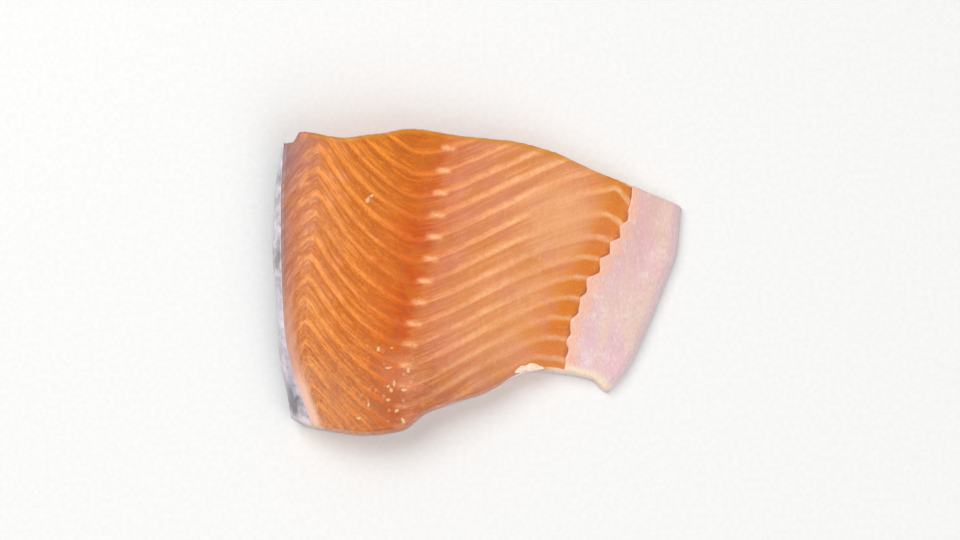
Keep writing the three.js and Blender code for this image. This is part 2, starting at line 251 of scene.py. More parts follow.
# Loose bits of fat on top, as (x, y, length, width, turn in degrees)
FAT_BITS = [
    (-52.2, 37.8, 2.6, 1.5, 70), (-50.3, 39.6, 1.8, 1.1, 30), (-46.9, -33.8, 2.2, 1.4, 85),
    (-40.6, -33.0, 1.1, 0.9, 0), (-42.2, -42.4, 2.6, 0.9, 5), (-32.9, -43.6, 2.2, 1.5, 80),
    (-39.4, -49.8, 2.6, 1.2, 95), (-42.3, -51.2, 1.4, 1.1, 30), (-40.8, -53.0, 1.9, 1.4, 100),
    (-34.6, -53.0, 2.2, 1.3, 10), (-42.3, -57.5, 1.5, 1.2, 0), (-51.6, -60.0, 2.0, 1.0, 80),
    (-38.2, -62.6, 1.9, 1.4, 20), (-35.2, -67.4, 2.2, 1.5, 110), (-56.0, -66.5, 1.7, 1.1, 15),
]
FAT_BIT_RISE = 0.28
FAT_BIT_FULL_WIDTH = 1.3
FAT_BIT_GROWTH = 1.45
FAT_BIT_RAGGED = 0.28
FAT_BIT_SIDES = 14
FAT_BIT_RINGS = 4
FAT_BIT_SINK = 0.08
FAT_BIT_BASE = 0.1

# The flake of fat over the notch: where it starts and ends, its half sizes, how it lies on the lip, how its
# girth wavers, and how much like the middle of a bit of fat it is coloured
NOTCH_FAT = (17.5, 32.0)
NOTCH_FAT_STEPS = 30
NOTCH_FAT_SIDES = 20
NOTCH_FAT_HALF = (2.1, 0.6)
NOTCH_FAT_TILT = math.radians(16)
NOTCH_FAT_INSET = 0.3
NOTCH_FAT_SINK = 0.25
NOTCH_FAT_GIRTH = 0.85
NOTCH_FAT_WAVER = 0.22
NOTCH_FAT_WAVER_SPAN = 2.3
NOTCH_FAT_MIDDLE = 1.6


def evenly(first, last, steps):
    """Numbers from first up to, but not including, last."""
    return [first + (last - first) * i / steps for i in range(steps)]


def together(*values):
    return np.broadcast_arrays(*(np.asarray(value, float) for value in values))


def smoothstep(value, low, high):
    t = np.clip((np.asarray(value, float) - low) / (high - low), 0, 1)
    return t * t * (3 - 2 * t)


def wobble(x, y, span, seed):
    """Even noise from -1 to 1 with bumps about span wide."""
    lattice = np.random.default_rng(seed).uniform(-1, 1, (NOISE_CELLS, NOISE_CELLS))
    u, v = together(x / span, y / span)
    i, j = np.floor(u).astype(int), np.floor(v).astype(int)
    s, t = smoothstep(u - i, 0, 1), smoothstep(v - j, 0, 1)

    def at(i, j):
        return lattice[i % NOISE_CELLS, j % NOISE_CELLS]

    near = at(i, j) * (1 - s) + at(i + 1, j) * s
    far = at(i, j + 1) * (1 - s) + at(i + 1, j + 1) * s
    return near * (1 - t) + far * t


def wobbles(x, y, span, seed, finer, share):
    """Noise with a share of noise on it that is so many times finer."""
    return wobble(x, y, span, seed) + share * wobble(x, y, span / finer, seed + 1)


def turned(x, y, angle):
    """A flat vector turned by an angle."""
    return x * math.cos(angle) - y * math.sin(angle), x * math.sin(angle) + y * math.cos(angle)


def wander(x, seed):
    """How far a cut is set back where the knife wandered, from 0 to CUT_WANDER."""
    wave = wobbles(x, 0, CUT_WANDER_SPAN, seed, *CUT_WANDER_FINER)
    return CUT_WANDER * (wave / (1 + CUT_WANDER_FINER[1]) + 1) / 2


def flesh_tail_cut(x):
    return tail_cut(x) + np.maximum(flap_setback(x), 0) + wander(x, 11)


def flesh_head_cut(x):
    return head_cut(x) - wander(x, 13)


def taper_along(y):
    return np.minimum(taper(y), 1)


def meet_cut(cut, x_at, start):
    """Where a line x(y) that runs along the fillet meets a cut."""
    y = start
    for _ in range(MEET_STEPS):
        y = (y + cut(x_at(y))) / 2
    return y


def cut_ends(tail, head, x_at, count):
    """Where a number of lines x(y) that run along the fillet meet its tail cut and its head cut."""
    start = np.full(count, CUT_SEARCH_Y)
    return meet_cut(tail, x_at, -start), meet_cut(head, x_at, start)


def skin_section(turn, y):
    """The skin's outer face in section at y, and the direction into the fish.

    Turn runs from 0 at the lip on top, past 1 where the back is widest, to 2 where the skin lies flat, then
    to 3 at the belly edge.
    """
    turn, y = together(turn, y)
    back = back_line(y)
    flat_x = back + WALL_FOOT + (belly_edge(y) - back - WALL_FOOT) * (turn - 2)
    foot = np.clip(turn - 1, 0, 1) * math.pi / 2
    foot_x = back + WALL_FOOT * (1 - np.cos(foot))
    foot_z = WALL_BULGE_HEIGHT * (1 - np.sin(foot))
    lip_x = flesh_edge(y) - WALL_LIP_OUT
    lip_z = height_at_station(0) * taper_along(y) + WALL_LIP_UP
    wide = (lip_x - back) / (1 - math.cos(WALL_TOP_ANGLE))
    tall = (lip_z - WALL_BULGE_HEIGHT) / math.sin(WALL_TOP_ANGLE)
    top = np.clip(1 - turn, 0, 1) * WALL_TOP_ANGLE
    in_x, in_z = np.cos(top) / wide, -np.sin(top) / tall
    length = np.hypot(in_x, in_z)
    top_x = back + wide * (1 - np.cos(top))
    top_z = WALL_BULGE_HEIGHT + tall * np.sin(top)

    def pick(flat, at_foot, at_top):
        return np.where(turn >= 2, flat, np.where(turn >= 1, at_foot, at_top))

    return (
        pick(flat_x, foot_x, top_x),
        pick(0, foot_z, top_z),
        pick(0, np.cos(foot), in_x / length),
        pick(1, np.sin(foot), in_z / length),
    )


def under_skin(turn, y, depth):
    """A point at a depth below the skin's outer face."""
    x, z, in_x, in_z = skin_section(turn, y)
    return x + depth * in_x, z + depth * in_z


def inner_skin(turn, y):
    """A point on the skin's inner face, where the flesh begins."""
    return under_skin(turn, y, skin_depth(turn))


def station_lines(y):
    return np.array([
        inner_skin(0, y)[0], loin_bend(y), midline(y), rib_bend(y),
        belly_edge(y) - BELLY_WALL_LEAN - BELLY_WALL_SHORT,
    ])


def band(lines, i):
    """The number of a band between two station lines, kept within the fillet, and the lines beside it."""
    i = np.clip(i, 0, len(lines) - 2)[None]
    return i[0], np.take_along_axis(lines, i, 0)[0], np.take_along_axis(lines, i + 1, 0)[0]


def station_x(station, y):
    station, y = together(station, y)
    i, left, right = band(station_lines(y), np.floor(station).astype(int))
    return left + (right - left) * (station - i)


def station_at(x, y):
    x, y = together(x, y)
    lines = station_lines(y)
    i, left, right = band(lines, (lines <= x).sum(0) - 1)
    return i + (x - left) / (right - left)


def sharp_line_rise(station, line):
    """How far a muscle line has climbed towards the head at a station, with sharp bends."""
    station = np.asarray(station, float)
    loin_rise = LOIN_RISE - LOIN_RISE_SHRINK * line
    t = np.maximum(1 - station, 0)
    at_edge = loin_rise - BACK_EDGE_FALL * (0.5 * t + 0.5 * t * t)
    t = np.clip(2 - station, 0, 1)
    in_loin = loin_rise * sum(share * t**power for power, share in enumerate(LOIN_CURVE, 1))
    t = np.clip(station - 2, 0, 1)
    rise = RIB_RISE + RIB_RISE_HEAD * (1 - smoothstep(line, *RIB_RISE_LINES))
    past = np.maximum((station - 3) / RIB_MARK_SPAN, 0)
    past = np.where(past < 1, past**1.5, 1.5 * past - 0.5)
    drop = RIB_DROP_HEAD + (RIB_DROP_TAIL - RIB_DROP_HEAD) * smoothstep(line, *RIB_DROP_LINES)
    start = RIB_START - RIB_START_SHRINK * line
    on_ribs = rise * (start * t + RIB_SWEEP * t * t + (1 - start - RIB_SWEEP) * t**3) - past * drop
    return np.where(station < 1, at_edge, np.where(station < 2, in_loin, on_ribs))


def line_rise(station, line):
    reach = np.interp(station, *np.array(BEND_ROUNDING).T)
    return sum(share * sharp_line_rise(station + tap * reach, line) for tap, share in BEND_TAPS)


def line_y(station, line):
    return FIRST_LINE_Y - LINE_PITCH * line + PITCH_SHRINK * line * line + line_rise(station, line)


def line_at(station, y):
    """The muscle line, with its fraction, that passes through a place."""
    station, y = together(station, y)
    low, high = np.full(station.shape, float(LINE_RANGE[0])), np.full(station.shape, float(LINE_RANGE[1]))
    for _ in range(SEARCH_STEPS):
        middle = (low + high) / 2
        above = line_y(station, middle) > y
        low, high = np.where(above, middle, low), np.where(above, high, middle)
    return (low + high) / 2


def line_slopes(station, y, line):
    """How many lines pass per millimetre along X and along Y."""
    x, d = station_x(station, y), SLOPE_STEP
    per_station = (line_y(station + d, line) - line_y(station - d, line)) / (2 * d)
    per_line = (line_y(station, line + d) - line_y(station, line - d)) / (2 * d)
    station_by_x = (station_at(x + d, y) - station_at(x - d, y)) / (2 * d)
    station_by_y = (station_at(x, y + d) - station_at(x, y - d)) / (2 * d)
    return -per_station * station_by_x / per_line, (1 - per_station * station_by_y) / per_line


def bare_height(station, y):
    """Height of the flesh without its relief."""
    seam = inner_skin(0, y)[1]
    plain = height_at_station(station) * taper_along(y)
    return plain + (seam - plain) * (1 - smoothstep(station, 0, SEAM_BLEND))


def add_object(name, data):
    made = bpy.data.objects.new(name, data)
    bpy.context.scene.collection.objects.link(made)
    return made


class Body:
    """Corners with their values, and the triangles between them."""

    def __init__(self):
        self.corners = []
        self.values = {}
        self.triangles = []
        self.count = 0

    def add(self, x, y, z, **values):
        """Adds a row of corners and returns their numbers."""
        row = np.stack(np.broadcast_arrays(x, y, z), axis=1).astype(float)
        self.corners.append(row)
        for name, value in values.items():
            self.values.setdefault(name, []).append(np.broadcast_to(value, len(row)).astype(float))
        first = self.count
        self.count += len(row)
        return list(range(first, self.count))

    def place(self):
        return np.concatenate(self.corners)

    def triangle(self, a, b, c):
        if a != b and b != c and c != a:
            self.triangles.append((a, b, c))

    def zip(self, left, right, left_key=None, right_key=None, swap=False):
        """Fills the strip between two rows of corners, always taking the corner whose key comes first."""
        if swap:
            left, right, left_key, right_key = right, left, right_key, left_key
        left_key = list(range(len(left))) if left_key is None else list(left_key)
        right_key = list(range(len(right))) if right_key is None else list(right_key)
        left_key.append(math.inf)
        right_key.append(math.inf)
        i = j = 0
        while i < len(left) - 1 or j < len(right) - 1:
            if left_key[i + 1] < right_key[j + 1]:
                self.triangle(left[i], right[j], left[i + 1])
                i += 1
            else:
                self.triangle(left[i], right[j], right[j + 1])
                j += 1

    def close_sheet(self, upper, lower):
        """A thin sheet between an upper and a lower grid of columns."""
        for left, right in zip(upper, upper[1:]):
            self.zip(left, right)
        for left, right in zip(lower, lower[1:]):
            self.zip(right, left)
        share = np.linspace(0, 1, len(upper[0])), np.linspace(0, 1, len(lower[0]))
        self.zip(lower[0], upper[0], share[1], share[0])
        self.zip(upper[-1], lower[-1], share[0], share[1])
        self.zip([column[0] for column in upper], [column[0] for column in lower])
        self.zip([column[-1] for column in lower], [column[-1] for column in upper])

    def piece(self, name, material, slot, *nodes):
        mesh = bpy.data.meshes.new(name)
        mesh.from_pydata((self.place() * MM).tolist(), [], self.triangles)
        for value_name, rows in self.values.items():
            layer = mesh.attributes.new(value_name, "FLOAT", "POINT")
            layer.data.foreach_set("value", np.concatenate(rows).astype(np.float32))
        mesh.shade_smooth()
        mesh.materials.append(material)
        made = add_object(name, mesh)
        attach(made, "root")
        if nodes:
            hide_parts(*nodes)
        return made


# ---------------------------------------------------------------- flesh


def pin_marks():
    """Centres of the pale pin bone marks."""
    marks = []
    for line in PIN_BONE_LINES:
        y = meet_cut(lambda at: line_y(pin_bone_station(at), line), lambda at: at, FIRST_LINE_Y)
        marks.append((float(station_x(pin_bone_station(y), y)), float(y)))
    return marks


PIN_MARKS = pin_marks()


def pin_share(x, y):
    """How much of a pin bone mark there is at a place, from 0 to 1."""
    share = np.zeros(np.shape(x))
    for mark_x, mark_y in PIN_MARKS:
        along = (x - mark_x) / PIN_MARK_LENGTH
        across = (y - mark_y + PIN_MARK_SLANT * (x - mark_x)) / PIN_MARK_WIDTH
        share = np.maximum(share, np.exp(-(along**4) - across**2))
    return share


def flesh_height(station, y, line):
    """Height of the finished top of the flesh."""
    x = station_x(station, y)
    relief = block_relief(line - np.floor(line)) * relief_fade(station) + PIN_MARK_LIFT * pin_share(x, y)
    swell = wobbles(x, y, UNDULATION_SPAN, 1, *UNDULATION_FINER) - UNDULATION_SINK
    return bare_height(station, y) + relief + UNDULATION * swell * smoothstep(station, 0, UNDULATION_START)


def cone_shift(share):
    return CONE_RISE * share - CONE_FALL * share * share


def turn_below(station, x, y):
    """The turn of the skin under a place on top: fanned out round the wall, then straight below."""
    back = back_line(y) + WALL_FOOT
    flat = 2 + (x - back) / (belly_edge(y) - back)
    fan_turn = 2 + (station_x(FAN_STATION, y) - back) / (belly_edge(y) - back)
    return np.where(station < FAN_STATION, fan_turn * station / FAN_STATION, np.clip(flat, 2, 3))


def lip_rows(stations, tails, heads):
    """Each column's rows at both lips, from the tail's outermost to the head's, and their muscle lines."""
    outs = CUT_LIP * np.sin(LIP_ANGLES)
    tail_rows = tails[:, None] + CUT_LIP - np.append(outs, 0)
    head_rows = heads[:, None] - CUT_LIP + np.append(0, outs[::-1])
    y = np.concatenate([tail_rows, head_rows], axis=1)
    return y, line_at(stations[:, None], y)


def flesh_column(body, station, lip_y, lip_line):
    """One column of the flesh's top, from the tail cut to the head cut, with a rounded lip at both cuts."""
    lips = len(LIP_ANGLES)
    head = lip_y[-1]

    def put(y, line, lift=1.0):
        stations = np.full(np.shape(y), float(station))
        slope_x, slope_y = line_slopes(stations, y, line)
        x, z = station_x(stations, y), flesh_height(stations, y, line) * lift
        low_x, low_z = inner_skin(turn_below(stations, x, y), y)
        early = (1 - smoothstep(line, *HEAD_CLEAR_LINES)) * smoothstep(station, *HEAD_CLEAR_STATIONS)
        late = smoothstep(line, *TAIL_UNCLEAR_LINES) * smoothstep(station, *TAIL_UNCLEAR_STATIONS)
        return body.add(
            x, y, z,
            line=line, spacing=1 / np.hypot(slope_x, slope_y), station=station, depth=z / lift - z,
            above=np.hypot(x - low_x, z - low_z), pin=pin_share(x, y),
            tint=station + PIN_BONE_MEAN - pin_bone_station(y), rim=head - y,
            clear=line_clear(station) * (1 + HEAD_CLEAR * early) * (1 - TAIL_UNCLEAR * late),
            bare=np.clip(lining_start(y) - x, -BARE_RANGE, BARE_RANGE),
        )

    lines = np.array([whole + share for whole in range(*LINE_RANGE) for share in ROW_SHARES])[::-1]
    y = line_y(station, lines)
    keep = (y > lip_y[lips] + LEAST_STEP) & (y < lip_y[lips + 1] - LEAST_STEP)
    rows_y = np.concatenate([lip_y[lips:lips + 1], y[keep], lip_y[lips + 1:lips + 2]])
    rows_line = np.concatenate([lip_line[lips:lips + 1], lines[keep], lip_line[lips + 1:lips + 2]])
    lifts = 1 - CUT_LIP_DROP * (1 - np.cos(LIP_ANGLES))
    return {
        "tail": put(lip_y[:lips], lip_line[:lips], lifts),
        "inner": put(rows_y, rows_line),
        "key": -rows_line,
        "head": put(lip_y[-lips:], lip_line[-lips:], lifts[::-1]),
    }


def under_columns(body):
    """The flesh's contact with the skin: columns past the lip, each from the tail cut to the head cut."""
    foot, flat = evenly(1, 2, FOOT_STEPS), evenly(2, 3, FLAT_STEPS)
    turns = np.array(evenly(0, 1, WALL_STEPS)[1:] + foot + flat + [3])
    ends = cut_ends(flesh_tail_cut, flesh_head_cut, lambda y: inner_skin(turns, y)[0], len(turns))
    columns = []
    for turn, tail, head in zip(turns, *ends):
        y = np.linspace(tail, head, UNDER_ROWS + 1)
        x, z = inner_skin(turn, y)
        station = np.clip(station_at(x, y), 0, 4)
        thick = bare_height(station, y)
        line = line_at(station, y) + cone_shift(np.clip((thick - z) / thick, 0, 1))
        columns.append(body.add(
            x - (BELLY_WALL_SHORT if turn == 3 else 0), y, z,
            line=line, spacing=LINE_PITCH, station=station, depth=thick - z, above=0.0, tint=station,
            **OFF_TOP,
        ))
    return columns


def close_cut(body, top, bottom, stations, cut, outward):
    """A cut face: rows from the lip down to the skin, swelling a little halfway down."""
    x, y, z = body.place()[top].T
    below = turn_below(stations, x, y)
    below[-1] = 3
    low_x, low_z = inner_skin(below, y)
    line = line_at(stations, y)
    slope_x = line_slopes(stations, y, line)[0]
    thick = bare_height(stations, y)
    from_edges = smoothstep(stations, *CUT_RELIEF_STATIONS)
    chain, chain_key = top, x
    inner = slice(1, -1)
    for share in CUT_FACE_SHARES:
        at_x, at_z = x + (low_x - x) * share, z + (low_z - z) * share
        deep = np.clip((thick - at_z) / thick, 0, 1)
        slope_z = (CONE_RISE - 2 * CONE_FALL * deep) / thick
        at_line = line + cone_shift(deep)
        swell = CUT_BULGE * np.minimum(z / CUT_BULGE_HEIGHT, 1) * from_edges
        relief = CUT_RELIEF_SHARE * block_relief(at_line - np.floor(at_line)) * from_edges
        out = math.sin(math.pi * share) * (swell + relief)
        at_y = y + cut(at_x) - cut(x) + outward * out
        new = body.add(
            at_x[inner], at_y[inner], at_z[inner],
            line=at_line[inner], spacing=1 / np.hypot(slope_x, slope_z)[inner], station=stations[inner],
            depth=(thick - at_z)[inner], above=np.hypot(low_x - at_x, low_z - at_z)[inner],
            tint=stations[inner], **OFF_TOP,
        )
        row = [top[0], *new, top[-1]]
        body.zip(chain, row, swap=outward > 0)
        chain, chain_key = row, at_x
    bottom_key = np.maximum.accumulate(body.place()[bottom][:, 0])
    body.zip(chain, bottom, chain_key, bottom_key, swap=outward > 0)


def make_flesh(material):
    body = Body()
    stations = np.array([station for span in STATION_STEPS for station in evenly(*span)] + [4])
    ends = cut_ends(flesh_tail_cut, flesh_head_cut, lambda y: station_x(stations, y), len(stations))
    columns = [flesh_column(body, *rows) for rows in zip(stations, *lip_rows(stations, *ends))]
    for left, right in zip(columns, columns[1:]):
        body.zip(left["tail"] + left["inner"][:1], right["tail"] + right["inner"][:1])
        body.zip(left["inner"], right["inner"], left["key"], right["key"])
        body.zip(left["inner"][-1:] + left["head"], right["inner"][-1:] + right["head"])
    whole = [column["tail"] + column["inner"] + column["head"] for column in columns]
    under = [whole[0], *under_columns(body), whole[-1]]
    places = body.place()
    for left, right in zip(under, under[1:]):
        body.zip(right, left, places[right][:, 1], places[left][:, 1])
    tail_top, head_top = [column[0] for column in whole], [column[-1] for column in whole]
    close_cut(body, tail_top, [column[0] for column in under], stations, flesh_tail_cut, -1)
    close_cut(body, head_top, [column[-1] for column in under], stations, flesh_head_cut, 1)
    return body.piece("salmon_flesh", material, "flesh", "flesh")


# ---------------------------------------------------------------- skin


def skin_turns():
    """Turns about SKIN_COLUMN_STEP apart round the section, and how far round each is."""
    fine = np.linspace(0, 3, SECTION_STEPS + 1)
    x, z, _, _ = skin_section(fine, np.zeros(fine.shape))
    length = np.concatenate([[0], np.cumsum(np.hypot(np.diff(x), np.diff(z)))])
    rounds = np.linspace(0, length[-1], int(length[-1] / SKIN_COLUMN_STEP) + 1)
    return np.interp(rounds, length, fine), rounds


def scale_relief(along, round_):
    """Overlapping scales in rows half a scale apart, each rising to its free edge, towards the tail."""
    row = math.floor(round_ / SCALE_WIDTH)
    across = (round_ / SCALE_WIDTH - row) * 2 - 1
    start = along / SCALE_LENGTH + 0.5 * (row % 2) + SCALE_ARCH * across * across
    share = start - np.floor(start)
    return SCALE_RELIEF * (1 - share) * smoothstep(share, 0, SCALE_FREE_EDGE)


def make_skin(material):
    body = Body()
    upper, lower = [], []
    turns, rounds = skin_turns()
    tails, heads = cut_ends(tail_cut, head_cut, lambda y: inner_skin(turns, y)[0], len(turns))
    tails = tails + SKIN_WANDER_SHARE * wander(rounds, 17)
    heads = heads - SKIN_WANDER_SHARE * wander(rounds, 19)
    for turn, round_, tail, head in zip(turns, rounds, tails, heads):
        y = np.linspace(tail, head, SCALE_ROWS + 1)
        x, z = inner_skin(turn, y)
        upper.append(body.add(x, y, z, turn=turn, round=round_, inner=1.0))
        y = np.linspace(tail, head, SCALE_ROWS * SCALE_STEPS + 1)
        x, z = under_skin(turn, y, SCALE_RELIEF - scale_relief(y, round_))
        lower.append(body.add(x, y, z, turn=turn, round=round_, inner=0.0))
    body.close_sheet(upper, lower)
    return body.piece("salmon_skin", material, "skin", "skin")


# ---------------------------------------------------------------- belly lining


def lining_start(y):
    """The lining's edge towards the ribs: nearly straight along each block, with a step at each line."""
    x = lining_line(y)
    line = line_at(station_at(x, y), y)
    share = line - np.floor(line)
    per_block = lining_line(y + LINE_PITCH / 2) - lining_line(y - LINE_PITCH / 2)
    tooth = share - 0.5 - smoothstep(share, *LINING_STEP_SPAN)
    return x + LINING_HOLD * per_block * tooth + LINING_WAVER * wobble(y, 0, LINING_WAVER_SPAN, 23)


def lining_x(start, across, wrap, y):
    """Where the lining lies: across the top from 0 to 1, then down the belly wall by wrap."""
    out = LINING_WRAP_OUT * np.sin(wrap * math.pi / 2)
    return start + (station_x(LINING_BELLY_STATION, y) - start) * across + out


def lining_column(body, across, wrap, tail, head):
    """A pair of the lining's columns, above and below."""
    out, down = math.sin(wrap * math.pi / 2), 1 - math.cos(wrap * math.pi / 2)
    row = np.linspace(0, 1, LINING_ROWS + 1)
    y = tail + (head - tail) * row
    x = lining_x(lining_start(y), across, wrap, y)
    edge = np.minimum(across / LINING_ROUND, np.minimum(row, 1 - row) * 2 / LINING_ROUND)
    round_ = np.sqrt(np.clip(edge, 0, 1))
    folds = sum(high * wobble(x, y * share, span, seed) for high, share, span, seed in LINING_FOLDS)
    thick = LINING_EDGE_THICKNESS + (LINING_THICKNESS - LINING_EDGE_THICKNESS + folds) * round_
    under = bare_height(np.minimum(station_at(x, y), LINING_BELLY_STATION), y) - LINING_SINK
    over = (under + thick) * (1 - down) + LINING_WRAP_FOOT * down
    below = under * (1 - down) + LINING_WRAP_FOOT * down
    values = {"across": across + LINING_WRAP_ACROSS * wrap, "from_tail": y - tail}
    return body.add(x, y, over, **values), body.add(x - LINING_WRAP_UNDER * out, y, below, **values)


def make_lining(material):
    body = Body()
    across = np.append(np.linspace(0, 1, LINING_COLUMNS + 1), np.ones(LINING_WRAP_STEPS))
    wrap = np.append(np.zeros(LINING_COLUMNS + 1), np.linspace(0, 1, LINING_WRAP_STEPS + 1)[1:])

    def x_at(y):
        return lining_x(lining_line(y), across, wrap, y)

    tails, heads = cut_ends(flesh_tail_cut, flesh_head_cut, x_at, len(wrap))
    ends = tails + LINING_CUT_MARGIN, heads - LINING_CUT_MARGIN
    pairs = [lining_column(body, *place) for place in zip(across, wrap, *ends)]
    body.close_sheet([pair[0] for pair in pairs], [pair[1] for pair in pairs])
    return body.piece("belly_lining_sheet", material, "belly_lining", "belly_lining")


# ---------------------------------------------------------------- bits of fat


def top_height(x, y):
    station = station_at(x, y)
    return flesh_height(station, y, line_at(station, y))


def fat_bit(body, x, y, length, width, turn, seed):
    """A low ragged flake of fat lying on the flesh."""
    sides, rings = FAT_BIT_SIDES, FAT_BIT_RINGS
    angles = np.linspace(0, 2 * math.pi, sides, endpoint=False)
    ragged = 1 + FAT_BIT_RAGGED * np.random.default_rng(seed).uniform(-1, 1, sides)
    rise = FAT_BIT_RISE * min(width / FAT_BIT_FULL_WIDTH, 1)
    loops = []
    for ring in range(rings + 1):
        tilt = ring / rings * math.pi / 2
        out = math.cos(tilt) * ragged * FAT_BIT_GROWTH / 2 if ring < rings else np.zeros(sides)
        along, across = out * np.cos(angles) * length, out * np.sin(angles) * width
        off_x, off_y = turned(along, across, math.radians(turn))
        at_z = top_height(x + off_x, y + off_y) - FAT_BIT_SINK + rise * math.sin(tilt)
        loops.append(body.add(x + off_x, y + off_y, at_z, middle=math.sin(tilt)))
    for low, high in zip(loops, loops[1:]):
        for i in range(sides):
            j = (i + 1) % sides
            body.triangle(low[i], low[j], high[j])
            body.triangle(low[i], high[j], high[i])
    below = body.add([x], [y], [float(top_height(x, y)) - FAT_BIT_BASE], middle=0.0)[0]
    for i in range(sides):
        body.triangle(loops[0][(i + 1) % sides], loops[0][i], below)


def notch_fat(body):
    """The flake of fat that lies over the lip of the notch in the tail cut."""
    angles = np.linspace(0, 2 * math.pi, NOTCH_FAT_SIDES, endpoint=False)
    rings = []
    for share in np.linspace(0, 1, NOTCH_FAT_STEPS + 1):
        x = NOTCH_FAT[0] + (NOTCH_FAT[1] - NOTCH_FAT[0]) * share
        girth = NOTCH_FAT_GIRTH + NOTCH_FAT_WAVER * float(wobble(x, 0, NOTCH_FAT_WAVER_SPAN, 41))
        girth *= math.sqrt(max(math.sin(math.pi * share), 0))
        lip_y = float(flesh_tail_cut(x)) + NOTCH_FAT_INSET
        lip_z = float(top_height(x, lip_y)) - NOTCH_FAT_SINK
        inward, up = NOTCH_FAT_HALF[0] * girth * np.cos(angles), NOTCH_FAT_HALF[1] * girth * np.sin(angles)
        off_y, off_z = turned(inward, up, NOTCH_FAT_TILT)
        ring = np.full(NOTCH_FAT_SIDES, x), lip_y + off_y, lip_z + off_z
        rings.append(body.add(*ring, middle=NOTCH_FAT_MIDDLE))
    for left, right in zip(rings, rings[1:]):
        body.zip(left + left[:1], right + right[:1])
    for ring, way in ((rings[0], 1), (rings[-1], -1)):
        for second, third in zip(ring[1:], ring[2:]):
            body.triangle(*(ring[0], second, third)[::way])


def make_fat_bits(material):
    body = Body()
    for seed, bit in enumerate(FAT_BITS):
        fat_bit(body, *bit, seed)
    notch_fat(body)
    return body.piece("fat_bits", material, "flesh")


# ---------------------------------------------------------------- materials

# The colour sockets of a mix node, and the raggedness and soft edge of dots
MIX_COLOUR_INPUT = 6
MIX_COLOUR_OUTPUT = 2
DOT_RAGGED_SCALE = 0.7
DOT_SOFTNESS = 0.08


def linear(colour):
    """A display colour, 0 to 255, as Blender's linear colour."""

    def channel(value):
        value /= 255
        return value / 12.92 if value <= 0.04045 else ((value + 0.055) / 1.055) ** 2.4

    return [*map(channel, colour), 1.0]


class Value:
    """A node's output, for use in formulas."""

    def __init__(self, look, socket):
        self.look = look
        self.socket = socket

    def math(self, operation, other=0.0):
        return self.look.node("ShaderNodeMath", {0: self, 1: other}, operation=operation)

    def __add__(self, other):
        return self.math("ADD", other)

    def __sub__(self, other):
        return self.math("SUBTRACT", other)

    def __mul__(self, other):
        return self.math("MULTIPLY", other)

    def __truediv__(self, other):
        return self.math("DIVIDE", other)

    def ramp(self, start, end, to_start=0.0, to_end=1.0):
        """A smooth step from to_start to to_end as the value goes from start to end."""
        if start > end:
            start, end, to_start, to_end = end, start, to_end, to_start
        inputs = {0: self, 1: start, 2: end, 3: to_start, 4: to_end}
        return self.look.node("ShaderNodeMapRange", inputs, interpolation_type="SMOOTHSTEP")

    def hump(self, low, rise, fall, high):
        """1 between rise and fall, and 0 below low and above high."""
        return self.ramp(low, rise) * self.ramp(high, fall)


